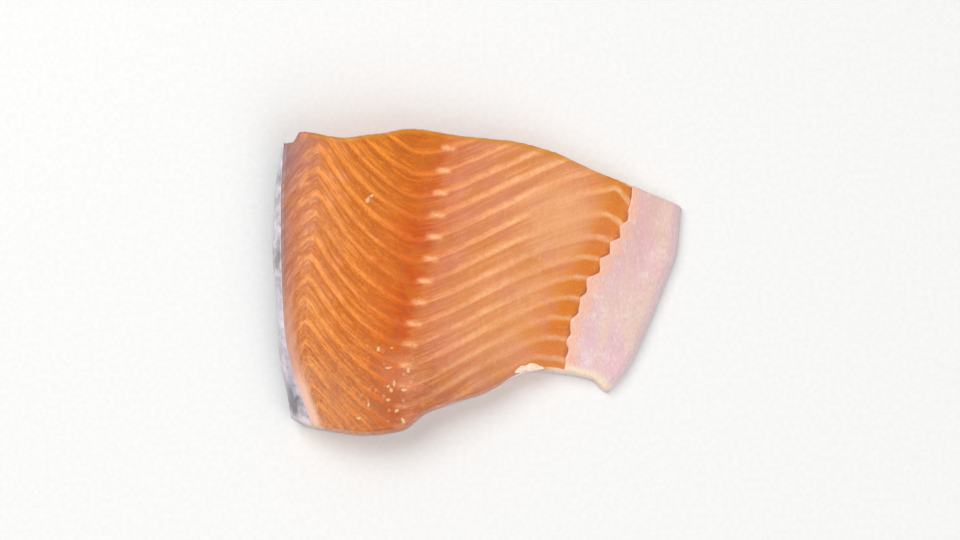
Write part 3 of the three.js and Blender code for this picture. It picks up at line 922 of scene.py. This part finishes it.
class Surface:
    """A material written as formulas, whose colour is laid on in coats."""

    def __init__(self, name):
        self.material = bpy.data.materials.new(name)
        self.material.use_nodes = True
        self.tree = self.material.node_tree
        self.shader = self.tree.nodes["Principled BSDF"]
        self.colour = None

    def node(self, kind, inputs, output=0, **settings):
        made = self.tree.nodes.new(kind)
        for name, value in settings.items():
            setattr(made, name, value)
        for name, value in inputs.items():
            self.set(made.inputs[name], value)
        return Value(self, made.outputs[output])

    def set(self, socket, value):
        if isinstance(value, Value):
            self.tree.links.new(value.socket, socket)
        else:
            socket.default_value = value

    def read(self, *names):
        """Gives the look the values that the corners carry, under the same names."""
        for name in names:
            setattr(self, name, self.node("ShaderNodeAttribute", {}, "Fac", attribute_name=name))

    def place(self, stretch=(1, 1, 1)):
        """Object coordinates in millimetres, stretched."""
        inputs = {0: self.node("ShaderNodeTexCoord", {}, "Object"), 1: [share / MM for share in stretch]}
        return self.node("ShaderNodeVectorMath", inputs, operation="MULTIPLY")

    def along(self):
        return self.node("ShaderNodeSeparateXYZ", {0: self.place()}, 1)

    def vector(self, x, y, z=0.0):
        return self.node("ShaderNodeCombineXYZ", {0: x, 1: y, 2: z})

    def near(self, point, none, full):
        """A smooth step from 0 to 1 towards the upright through a point, between two distances from it."""
        inputs = {0: self.place((1, 1, 0)), 1: (*point, 0)}
        flat = self.node("ShaderNodeVectorMath", inputs, operation="SUBTRACT")
        return self.node("ShaderNodeVectorMath", {0: flat}, "Value", operation="LENGTH").ramp(none, full)

    def noise(self, span, detail=2.0, roughness=0.5, stretch=(1, 1, 1), at=None, seed=0.0):
        """Noise from 0 to 1 with grains about span millimetres wide."""
        inputs = {
            "Vector": at or self.place(stretch), "W": seed, "Scale": 1 / span, "Detail": detail,
            "Roughness": roughness,
        }
        return self.node("ShaderNodeTexNoise", inputs, "Fac", noise_dimensions="4D")

    def dots(self, spacing, largest, share, seed=0.0):
        """Ragged dots in a share of the cells of a grid: 1 inside, 0 outside, with sizes up to largest."""
        ragged = {"Vector": self.place(), "Scale": DOT_RAGGED_SCALE, "Detail": 1.0}
        inputs = {0: self.place(), 1: self.node("ShaderNodeTexNoise", ragged, "Color")}
        pushed = self.node("ShaderNodeVectorMath", inputs, operation="ADD")
        inputs = {"Vector": pushed, "W": seed, "Scale": 1 / spacing}
        away = self.node("ShaderNodeTexVoronoi", inputs, "Distance", voronoi_dimensions="4D")
        chance = self.node("ShaderNodeSeparateColor", {0: Value(self, away.socket.node.outputs["Color"])})
        return (away - chance.ramp(1 - share, 1.0) * (largest / spacing)).ramp(0.0, -DOT_SOFTNESS)

    def mix(self, share, *colours):
        made = self.tree.nodes.new("ShaderNodeMix")
        made.data_type = "RGBA"
        self.set(made.inputs["Factor"], share)
        for slot, colour in enumerate(colours, MIX_COLOUR_INPUT):
            self.set(made.inputs[slot], colour if isinstance(colour, Value) else linear(colour))
        return Value(self, made.outputs[MIX_COLOUR_OUTPUT])

    def coat(self, colour, share):
        """Covers a share of the colour so far."""
        self.colour = self.mix(share, self.colour, colour)

    def grain(self, noise, *coats):
        """Coats that follow noise, each as (the noise where it starts, where it is full, colour, share)."""
        for start, full, colour, share in coats:
            self.coat(colour, noise.ramp(start, full) * share)

    def colours(self, value, stops, scale):
        """A colour for each value from 0 to scale, from (value, colour) stops."""
        made = self.tree.nodes.new("ShaderNodeValToRGB")
        self.set(made.inputs[0], value * (1 / scale))
        elements = made.color_ramp.elements
        while len(elements) < len(stops):
            elements.new(0.5)
        for element, (at, colour) in zip(elements, stops):
            element.position = at / scale
            element.color = linear(colour)
        return Value(self, made.outputs[0])

    def finish(self, roughness, height=None, **constants):
        self.set(self.shader.inputs["Base Color"], self.colour)
        self.set(self.shader.inputs["Roughness"], roughness)
        if height is not None:
            bump = self.node("ShaderNodeBump", {"Height": height, "Distance": MM, "Strength": 1.0})
            self.set(self.shader.inputs["Normal"], bump)
        for name, value in constants.items():
            self.shader.inputs[name.replace("_", " ")].default_value = value
        return self.material


# Colours across the top of the flesh at each station, between the muscle lines, on them, and near the tail
FLESH_COLOURS = [
    (0, (160, 122, 116)), (0.2, (188, 121, 98)), (0.6, (198, 113, 52)), (1, (206, 116, 38)),
    (1.3, (207, 108, 10)), (1.6, (210, 108, 22)), (1.8, (210, 97, 8)), (1.92, (200, 79, 0)),
    (2.03, (196, 78, 0)), (2.07, (208, 112, 62)), (2.2, (211, 129, 90)), (2.5, (224, 146, 92)),
    (2.75, (227, 153, 102)), (2.95, (224, 138, 66)), (3.12, (222, 128, 40)), (3.28, (232, 158, 98)),
    (3.4, (240, 184, 150)),
]
LINE_COLOURS = [
    (0, (206, 154, 136)), (0.4, (232, 158, 110)), (1, (250, 164, 88)), (1.5, (250, 154, 72)),
    (1.85, (236, 118, 34)), (1.98, (224, 106, 30)), (2.05, (236, 142, 80)), (2.5, (255, 190, 134)),
    (2.95, (254, 190, 132)), (3.1, (255, 208, 152)), (3.4, (255, 216, 176)),
]
TAIL_COLOURS = [
    (0, (248, 198, 172)), (0.3, (250, 194, 160)), (0.6, (216, 168, 140)), (1, (182, 132, 108)),
    (1.5, (188, 118, 76)), (1.85, (178, 102, 60)), (2.05, (168, 92, 58)), (2.2, (170, 90, 58)),
    (2.6, (184, 106, 78)), (3, (192, 118, 84)),
]
RIB_PATCH = (219, 121, 20)
# Painted shade, laid on the flesh just behind each muscle line
SHADE_BEHIND_LINE = (178, 84, 18)
GOLDEN = (214, 134, 34)
PINKISH = (216, 134, 108)
STREAK_DARK = (184, 92, 30)
FLECK_PALE = (250, 190, 150)
FLECK_DARK = (184, 104, 62)
PIN_PALE = (255, 190, 136)
LINING_SHADOW = (158, 96, 66)
BACK_PALE = (236, 186, 164)
FAT_PALE = (250, 204, 176)
FAT_ROSY = (244, 206, 202)
HEAD_RIM = (208, 138, 34)
# Painted highlight along the lip of the head cut
HEAD_LIP_HIGHLIGHT = (232, 178, 160)
HEAD_GOLD = (204, 112, 0)
HEAD_LINES = (250, 150, 42)
# Painted shadow for the corner at the head
HEAD_CORNER_SHADOW = (150, 116, 126)
DARK_MUSCLE = (150, 84, 58)
CUT_RIM = (252, 224, 204)
BELLY_PALE = (238, 176, 130)
TAIL_PALE = (232, 160, 120)

# Places with a colour of their own, and the head corner where shadow is painted, as (x, y)
PALE_BELLY = (41, 29)
PALE_TAIL = (-37, -45)
HEAD_CORNER = (-95, 64)

# Where a muscle line starts and is whole, before its middle and after it, by its width
LINE_BEFORE = (2.2, 0.2)
LINE_AFTER = (1.3, 0.2)


class FleshLook(Surface):
    """Bands of colour across the fillet, pale muscle lines, and grain in the blocks between them."""

    def __init__(self):
        super().__init__("salmon_flesh_material")
        self.read("line", "spacing", "station", "depth", "above", "pin", "tint", "rim", "clear", "bare")
        self.y = self.along()
        self.broad = self.noise(14, 2, 0.6)
        self.patchy = self.noise(4.5, 3, 0.6, seed=2.0)
        self.speckle = self.noise(1.7, 2, 0.6, seed=3.0)
        self.fine = self.noise(0.8, 2, 0.65, seed=4.0)
        self.fibre = self.noise(1.3, 3, 0.6, stretch=(1, 0.2, 1), seed=6.0)
        self.streak = self.noise(1.5, 3, 0.6, at=self.in_block(7.5, 5), seed=8.0)
        self.tail_noise = self.y + self.broad * 24
        self.on_cut = self.depth.ramp(0.3, 1.2)
        self.off_ribs = self.station.ramp(2.95, 2.75)
        self.share = (self.line + (self.patchy - 0.5) * 0.25).math("FRACT")
        self.since = self.share * self.spacing
        self.until = self.spacing - self.since

    def in_block(self, per_line, per_station):
        """Coordinates that follow the muscle lines, for noise with so many millimetres to each."""
        return self.vector(self.line * per_line, self.station * per_station, self.depth * 0.4)

    def coat_bands(self):
        """The bands of colour, and how the lines are coloured on them."""
        near_tail = self.tail_noise.ramp(-10, -48)
        tail = self.colours(self.tint, TAIL_COLOURS, 4.0)
        self.pale_belly = self.near(PALE_BELLY, 27, 8)
        self.head_gold = self.y.ramp(22, 62) * self.station.hump(0.35, 0.7, 2.0, 2.2)
        self.colour = self.mix(near_tail * 0.85, self.colours(self.tint, FLESH_COLOURS, 4.0), tail)
        self.lines = self.mix(near_tail * 0.2, self.colours(self.tint, LINE_COLOURS, 4.0), tail)
        self.lines = self.mix(self.head_gold * 0.72, self.lines, HEAD_LINES)
        self.coat(PINKISH, self.tint.ramp(2.02, 2.12) * self.broad.ramp(0.5, 0.64) * 0.45)
        self.coat(GOLDEN, self.broad.ramp(0.5, 0.36) * 0.35)
        self.coat(BELLY_PALE, self.pale_belly * 0.5)
        self.coat(TAIL_PALE, self.near(PALE_TAIL, 14, 5) * 0.4)
        self.coat(HEAD_GOLD, self.head_gold * 0.62)

    def coat_between_lines(self):
        """Painted shade behind each line, the golden blocks over the ribs, and fainter lines in the loin.
        """
        shade = self.since.ramp(0.8, 2.2) * self.share.ramp(0.8, 0.1)
        # painted shade: the flesh darkened just towards the tail of each muscle line, where its groove
        # would be in shade
        self.coat(SHADE_BEHIND_LINE, shade * (self.station.ramp(1.8, 2.4, 0.34, 0.12) + self.head_gold * 0.2))
        patch = self.station.hump(2.92, 3.04, 3.5, 3.6) * self.y.ramp(52, 24)
        self.coat(RIB_PATCH, patch * self.since.math("MINIMUM", self.until).ramp(0.8, 2.2) * 0.7)
        between = (self.share - self.broad * 0.5 - 0.25).math("ABSOLUTE") * self.spacing
        in_loin = self.station.hump(0.9, 1.1, 1.7, 2.0) * self.patchy.ramp(0.42, 0.6)
        self.coat(self.lines, between.ramp(*LINE_AFTER) * in_loin * 0.35)

    def coat_lines(self):
        """The muscle lines: soft on the side towards the head, sharp on the other."""
        on_ribs = self.station.hump(2.92, 3.06, 3.5, 3.6)
        width = self.station.ramp(1.2, 2.5, 0.9, 1.25) - on_ribs * 0.15
        width = width * self.on_cut.ramp(0, 1, 1.0, 0.5)
        before, after = (self.until / width).ramp(*LINE_BEFORE), (self.since / width).ramp(*LINE_AFTER)
        strength = (self.speckle + self.patchy * 1.5).ramp(0.9, 1.5, 0.45, 1.0)
        strength = strength * self.pale_belly.ramp(0, 1, 1.0, 0.3) * self.clear
        self.coat(self.lines, before.math("MAXIMUM", after) * strength)

    def coat_grain(self):
        """Streaks along the lines, fine grain, fibres, pin bone marks, and painted shadow by the lining."""
        loin, head = self.station.ramp(2.3, 1.7), self.y.ramp(25, 50, 1.0, 1.5)
        dark = loin.ramp(0, 1, 0.16, 0.5) * head
        pale = loin.ramp(0, 1, 0.25, 0.5) * head * self.off_ribs
        self.grain(self.streak, (0.5, 0.34, STREAK_DARK, dark), (0.51, 0.66, self.lines, pale))
        grainy = self.station.ramp(2.2, 1.9, 0.5, 1.0)
        dark, pale = grainy * 0.22, grainy * 0.26
        self.grain(self.fine, (0.48, 0.32, STREAK_DARK, dark), (0.52, 0.68, self.lines, pale))
        pale = self.off_ribs * 0.12
        self.grain(self.fibre, (0.48, 0.3, STREAK_DARK, 0.1), (0.53, 0.7, self.lines, pale))
        # painted shadow on the flesh beside the lining's edge, where the raised lining would shade it
        lining_edge_shadow = (self.bare + self.speckle).ramp(3.4, 1.2) * self.bare.ramp(-2, -1)
        self.coat(LINING_SHADOW, lining_edge_shadow * self.share.hump(0.25, 0.5, 0.8, 0.9) * 0.5)
        uneven = self.speckle.ramp(0.3, 0.55, 0.5, 1.0) * self.y.ramp(-58, -38, 0.35, 1.0)
        self.coat(PIN_PALE, self.pin * uneven * 0.92)

    def coat_tail(self):
        """Rougher flecks towards the tail, and the paler flesh and fat along the back there."""
        station, tail = self.station, self.tail_noise.ramp(6, -34)
        thread = self.noise(1.5, 3, 0.65, at=self.in_block(13, 9), seed=9.0)
        thready = station.hump(0.1, 0.4, 2.1, 2.5) * tail.ramp(0, 1, 0.45, 1.0) * 0.72
        self.grain(thread, (0.5, 0.36, FLECK_DARK, thready), (0.51, 0.66, self.lines, thready))
        blotch = self.noise(1.6, 2, 0.65, seed=5.0)
        dark = station.hump(0.2, 0.5, 2.0, 2.3) * tail * 0.22
        pale = station.hump(0.2, 0.5, 2.1, 2.4) * tail * 0.28
        self.grain(blotch, (0.5, 0.36, FLECK_DARK, dark), (0.5, 0.64, self.lines, pale))
        dots = self.dots(3.4, 1.4, 0.5).math("MAXIMUM", self.dots(2.3, 1.0, 0.5, 5.0))
        dots = dots * self.broad.ramp(0.38, 0.52) * station.hump(1.2, 1.75, 2.1, 2.4)
        self.coat(FLECK_PALE, dots * tail * 0.3)
        from_back = station + self.patchy * 0.4
        fat = self.mix(from_back.ramp(0.42, 0.28), FAT_PALE, FAT_ROSY)
        self.coat(BACK_PALE, self.tail_noise.ramp(22, -30) * from_back.ramp(0.85, 0.3) * 0.55)
        self.coat(fat, self.tail_noise.ramp(-24, -48) * from_back.ramp(1.05, 0.5) * 0.9)

    def coat_head(self):
        """Painted shadow at the head corner; the head cut's golden rim and pale lip, a painted highlight.
        """
        # painted shadow darkening the corner at the head
        self.coat(HEAD_CORNER_SHADOW, self.near(HEAD_CORNER, 26, 4) * 0.5)
        rim = (self.rim + self.patchy * 2).ramp(4.4, 2.8)
        self.coat(HEAD_RIM, rim * self.station.hump(0.5, 1, 2.6, 3) * 0.65)
        # painted highlight: a pale band along the lip of the head cut
        edge = (self.rim + self.speckle).ramp(1.6, 0.7)
        self.coat(HEAD_LIP_HIGHLIGHT, edge * self.station.hump(1.0, 1.3, 2.3, 2.5) * 0.5)

    def coat_cuts(self):
        """The dark muscle and the fat above the skin, and the pale cut edge of the flap."""
        dark = self.station.hump(1.1, 1.8, 2.1, 2.6) * (self.above + self.patchy * 3).ramp(8, 4)
        self.coat(DARK_MUSCLE, dark * self.on_cut * 0.75)
        self.coat(FAT_PALE, (self.above + self.speckle).ramp(2.0, 1.2) * self.on_cut)
        self.coat(CUT_RIM, self.station.ramp(3.05, 3.3) * self.depth.ramp(0.02, 0.3) * 0.9)


def flesh_material():
    look = FleshLook()
    look.coat_bands()
    look.coat_between_lines()
    look.coat_lines()
    look.coat_grain()
    look.coat_tail()
    look.coat_head()
    look.coat_cuts()
    return look.finish(
        (look.fine - look.streak * 1.4).ramp(-0.4, 0.0, 0.24, 0.42),
        look.fibre * 0.07 + look.fine * 0.08 + look.streak * 0.22,
        Subsurface_Weight=0.2, Subsurface_Radius=(1.0, 0.4, 0.15), Subsurface_Scale=0.0012,
        Specular_IOR_Level=0.28, Coat_Weight=0.06, Coat_Roughness=0.15,
    )


# Colours round the skin at each turn
SKIN_COLOURS = [
    (0, (226, 210, 214)), (0.35, (216, 202, 214)), (0.75, (196, 186, 200)), (1.1, (140, 138, 152)),
    (1.6, (74, 84, 98)), (2.08, (84, 96, 108)), (2.2, (120, 130, 138)), (2.36, (176, 180, 184)),
    (2.6, (206, 206, 206)), (2.85, (226, 222, 218)), (3, (236, 226, 226)),
]
SKIN_PATCH = (128, 116, 112)
# A dark patch on the skin near the tail, partly the skin's own and partly painted shadow
SKIN_DARK_PATCH_AND_SHADOW = (104, 102, 106)
SKIN_LILAC = (214, 200, 226)
SKIN_SCALE_PALE = (238, 234, 238)
SKIN_SCALE_DARK = (112, 112, 124)
SKIN_INNER = (238, 220, 222)


def skin_material():
    look = Surface("salmon_skin_material")
    look.read("turn", "inner", "round")
    turn, y = look.turn, look.along()
    patchy = look.noise(7, 2.5, 0.55, seed=2.0)
    fine = look.noise(0.5, 2, 0.6, seed=4.0)
    on_back, on_wall = turn.hump(0.9, 1.4, 2.1, 2.35), turn.ramp(1.3, 0.9)
    look.colour = look.colours(turn + (patchy - 0.5) * 0.12, SKIN_COLOURS, 3.0)
    look.coat(SKIN_LILAC, look.noise(12, 2, 0.6).ramp(0.5, 0.66) * on_back.ramp(0, 1, 0.4, 0.08))
    look.coat(SKIN_PATCH, on_wall * patchy.ramp(0.42, 0.64) * y.ramp(-12, 8, 0.35, 0.8))
    # a dark patch on the wall near the tail, partly the skin's own and partly painted shadow
    at_tail = (y + (patchy - 0.5) * 26).hump(-70, -62, -56, -42) * (turn + patchy).ramp(0.35, 0.75)
    look.coat(SKIN_DARK_PATCH_AND_SHADOW, on_wall * at_tail * 0.8)
    tone, free_edge = scale_looks(look, y)
    look.coat(SKIN_SCALE_PALE, tone.ramp(0.48, 0.75) * on_back.ramp(0, 1, 0.32, 0.1))
    look.coat(SKIN_SCALE_DARK, tone.ramp(0.5, 0.25) * 0.22)
    look.coat(SKIN_SCALE_DARK, free_edge * 0.34)
    look.coat(SKIN_INNER, look.inner * 0.9)
    return look.finish(
        fine.ramp(0.3, 0.7, 0.2, 0.36) + free_edge * 0.14, fine * 0.05,
        Specular_IOR_Level=0.6, Coat_Weight=0.3, Coat_Roughness=0.12, Metallic=0.1,
    )


def scale_looks(look, y):
    """A tone for each scale, and how near a place is to its scale's free edge, both from 0 to 1."""
    rows = look.round * (1 / SCALE_WIDTH)
    row, across = rows.math("FLOOR"), (rows + 0.5).math("PINGPONG", 0.5)
    start = y * (1 / SCALE_LENGTH) + across * across * (4 * SCALE_ARCH) + row.math("MODULO", 2.0) * 0.5
    share = start.math("FRACT")
    tone = look.noise(1.0, 0.0, at=look.vector(row * 7.3, (start - share) * 3.7), seed=6.5)
    return tone, share.ramp(0.14, 0.02).math("MAXIMUM", share.ramp(0.93, 1.0))


LINING_PINK = (231, 190, 195)
LINING_CREAM = (232, 198, 184)
LINING_ROSE = (221, 176, 170)
LINING_PEACH = (248, 188, 160)
LINING_PALE = (246, 224, 220)
LINING_DUSKY = (212, 170, 172)
# Lilac darkened as painted shade, for the lining's outer edge and its turn down the belly wall
LINING_LILAC_SHADE = (219, 192, 197)
LINING_RIM = (250, 222, 192)


def lining_material():
    look = Surface("belly_lining_material")
    look.read("across", "from_tail")
    across = look.across
    bands = look.noise(9, 2, 0.5, stretch=(1, 0.22, 1), seed=1.0)
    blotches = look.noise(6, 3, 0.6, seed=3.0)
    fine = look.noise(0.8, 3, 0.6, stretch=(1, 0.4, 1), seed=5.0)
    look.colour = look.mix(bands.ramp(0.38, 0.62), LINING_PINK, LINING_CREAM)
    look.coat(LINING_ROSE, across.ramp(0.3, 0.0) * 0.6)
    look.grain(blotches, (0.52, 0.7, LINING_PALE, 0.55), (0.46, 0.3, LINING_DUSKY, 0.4))
    look.coat(LINING_ROSE, look.along().ramp(-20, 28) * across.ramp(0.85, 0.45) * 0.65)
    # painted shade: the lining's outer edge and its turn down the belly wall darkened to lilac
    look.coat(LINING_LILAC_SHADE, across.ramp(0.88, 1.0) * 0.65)
    look.coat(LINING_PEACH, (across + (blotches - 0.5) * 0.16).ramp(0.27, 0.06) * 0.85)
    look.coat(LINING_RIM, (look.from_tail + blotches * 3).ramp(5.6, 3.0) * 0.8)
    look.grain(fine, (0.52, 0.7, LINING_PALE, 0.55), (0.48, 0.32, LINING_DUSKY, 0.4))
    return look.finish(
        blotches.ramp(0.3, 0.7, 0.28, 0.42), fine * 0.08 + bands * 0.5,
        Subsurface_Weight=0.3, Subsurface_Radius=(1.0, 0.6, 0.5), Subsurface_Scale=0.002,
        Specular_IOR_Level=0.45, Coat_Weight=0.2, Coat_Roughness=0.15,
    )


FAT_EDGE = (224, 132, 74)
FAT_PEACH = (238, 166, 112)
FAT_CREAM = (250, 204, 162)
FAT_WHITE = (250, 226, 210)


def fat_material():
    look = Surface("fat_material")
    look.read("middle")
    fine = look.noise(0.6, 2, 0.6)
    look.colour = look.mix(fine.ramp(0.3, 0.7), FAT_CREAM, FAT_PEACH)
    look.coat(FAT_EDGE, (look.middle + fine * 0.5).ramp(1.15, 0.5))
    look.coat(FAT_WHITE, look.middle.ramp(1.05, 1.3) * fine.ramp(0.75, 0.45))
    return look.finish(
        fine.ramp(0.3, 0.7, 0.25, 0.4), fine * 0.1,
        Subsurface_Weight=0.4, Subsurface_Radius=(1.0, 0.7, 0.5), Subsurface_Scale=0.001,
        Specular_IOR_Level=0.25, Coat_Weight=0.0, Coat_Roughness=0.12,
    )


# ---------------------------------------------------------------- studio

VIEW_ELEVATION = math.radians(82)
VIEW_TARGET = (1.2, 7.7, 0.0)
VIEW_DISTANCE = 1500
VIEW_WIDTH = 460.8
VIEW_PLANE = 12
SENSOR_WIDTH = 36
VIEW_RANGE = (50, 20000)
FLOOR_SIZE = 3000
FLOOR_SPECKLE = 2.5
FLOOR_COLOURS = ((236, 236, 235), (240, 240, 239))
FLOOR_ROUGHNESS = 0.7
WORLD_COLOUR = (250, 250, 250)
WORLD_STRENGTH = 0.5

# Lights, as (name, direction, size, power in watts)
LIGHTS = [("key", (-0.8, 0.7, 1.5), 1500, 32.2), ("fill", (0.7, -1.0, 1.3), 2000, 21.4)]
LIGHT_DISTANCE = 2400


def aim(thing, direction, distance, target=(0, 0, 0)):
    """Puts a camera or light at a distance from its target in a direction, facing the target."""
    back = Vector(direction).normalized()
    thing.location = (Vector(target) + back * distance) * MM
    thing.rotation_mode = "QUATERNION"
    thing.rotation_quaternion = (-back).to_track_quat("-Z", "Y")


def make_camera():
    data = bpy.data.cameras.new("camera")
    camera = add_object("camera", data)
    aim(camera, (0, -math.cos(VIEW_ELEVATION), math.sin(VIEW_ELEVATION)), VIEW_DISTANCE, VIEW_TARGET)
    data.sensor_width = SENSOR_WIDTH
    data.lens = SENSOR_WIDTH * (VIEW_DISTANCE - VIEW_PLANE) / VIEW_WIDTH
    data.clip_start, data.clip_end = (far * MM for far in VIEW_RANGE)
    bpy.context.scene.camera = camera


def make_light(name, direction, size, power):
    data = bpy.data.lights.new(name, "AREA")
    data.energy, data.size = power, size * MM
    aim(add_object(name, data), direction, LIGHT_DISTANCE)


def make_studio():
    half = FLOOR_SIZE / 2 * MM
    corners = [(-half, -half, 0), (half, -half, 0), (half, half, 0), (-half, half, 0)]
    mesh = bpy.data.meshes.new("floor")
    mesh.from_pydata(corners, [], [(0, 1, 2, 3)])
    floor = add_object("floor", mesh)
    look = Surface("floor_material")
    look.colour = look.mix(look.noise(FLOOR_SPECKLE).ramp(0.3, 0.7), *FLOOR_COLOURS)
    mesh.materials.append(look.finish(FLOOR_ROUGHNESS))
    world = bpy.data.worlds.new("studio")
    world.use_nodes = True
    background = world.node_tree.nodes["Background"]
    background.inputs["Color"].default_value = linear(WORLD_COLOUR)
    background.inputs["Strength"].default_value = WORLD_STRENGTH
    bpy.context.scene.world = world
    for light in LIGHTS:
        make_light(*light)
    bpy.context.scene.view_settings.view_transform = "Standard"


make_camera()
make_studio()
make_flesh(flesh_material())
make_skin(skin_material())
make_lining(lining_material())
make_fat_bits(fat_material())
